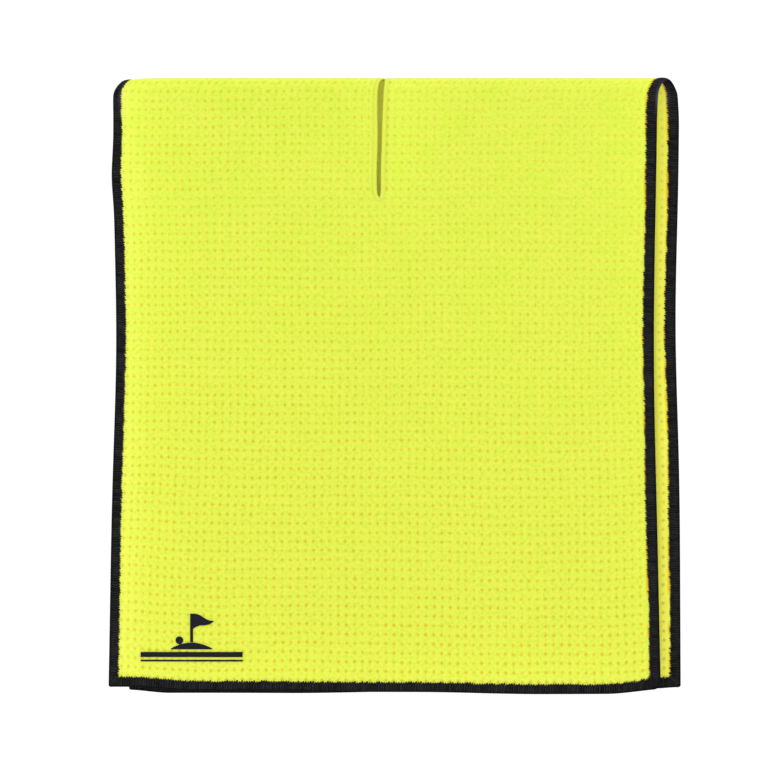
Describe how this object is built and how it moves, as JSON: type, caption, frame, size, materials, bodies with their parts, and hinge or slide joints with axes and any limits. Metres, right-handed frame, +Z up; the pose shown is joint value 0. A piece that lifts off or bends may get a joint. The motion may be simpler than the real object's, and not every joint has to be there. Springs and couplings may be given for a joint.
{
  "type": "golf towel",
  "caption": "Waffle-weave golf towel hung folded over its middle, with overlocked edges, a club slit across the fold and a printed badge.",
  "frame": {"origin": "centre of the fold's curve at the middle of the towel's width, on the line that the towel hangs from", "axes": "+Z up, the front half and its print face -Y, +X to the right as seen from the front"},
  "size_m": [0.466, 0.0192, 0.5048],
  "materials": {
    "waffle_cloth": "matte",
    "edging_thread": "matte",
    "slit_thread": "matte",
    "print_film": "matte"
  },
  "bodies": {
    "fold": {"fold_cloth_left": "waffle_cloth", "fold_cloth_right": "waffle_cloth", "fold_edging_left": "edging_thread", "fold_edging_right": "edging_thread", "fold_slit_edging_left": "slit_thread", "fold_slit_edging_right": "slit_thread"},
    "front_half": {"front_cloth": "waffle_cloth", "front_edging_left": "edging_thread", "front_edging_right": "edging_thread", "front_edging_bottom": "edging_thread", "front_slit_edging_left": "slit_thread", "front_slit_edging_right": "slit_thread", "front_slit_edging_end": "slit_thread", "print_pennant": "print_film", "print_flagstick": "print_film", "print_ball": "print_film", "print_green": "print_film", "print_rule_wide": "print_film", "print_rule_thin": "print_film"},
    "back_half": {"back_cloth": "waffle_cloth", "back_edging_left": "edging_thread", "back_edging_right": "edging_thread", "back_edging_bottom": "edging_thread", "back_slit_edging_left": "slit_thread", "back_slit_edging_right": "slit_thread", "back_slit_edging_end": "slit_thread"}
  },
  "joints": [
    {"name": "front_half_lift", "type": "hinge", "parent": "fold", "child": "front_half", "pos_m": [0, -0.00628, 0.00628], "axis": [-1, 0, 0], "range_deg": [0, 90]},
    {"name": "back_half_lift", "type": "hinge", "parent": "fold", "child": "back_half", "pos_m": [0, 0.00628, 0.00628], "axis": [1, 0, 0], "range_deg": [0, 90]}
  ]
}
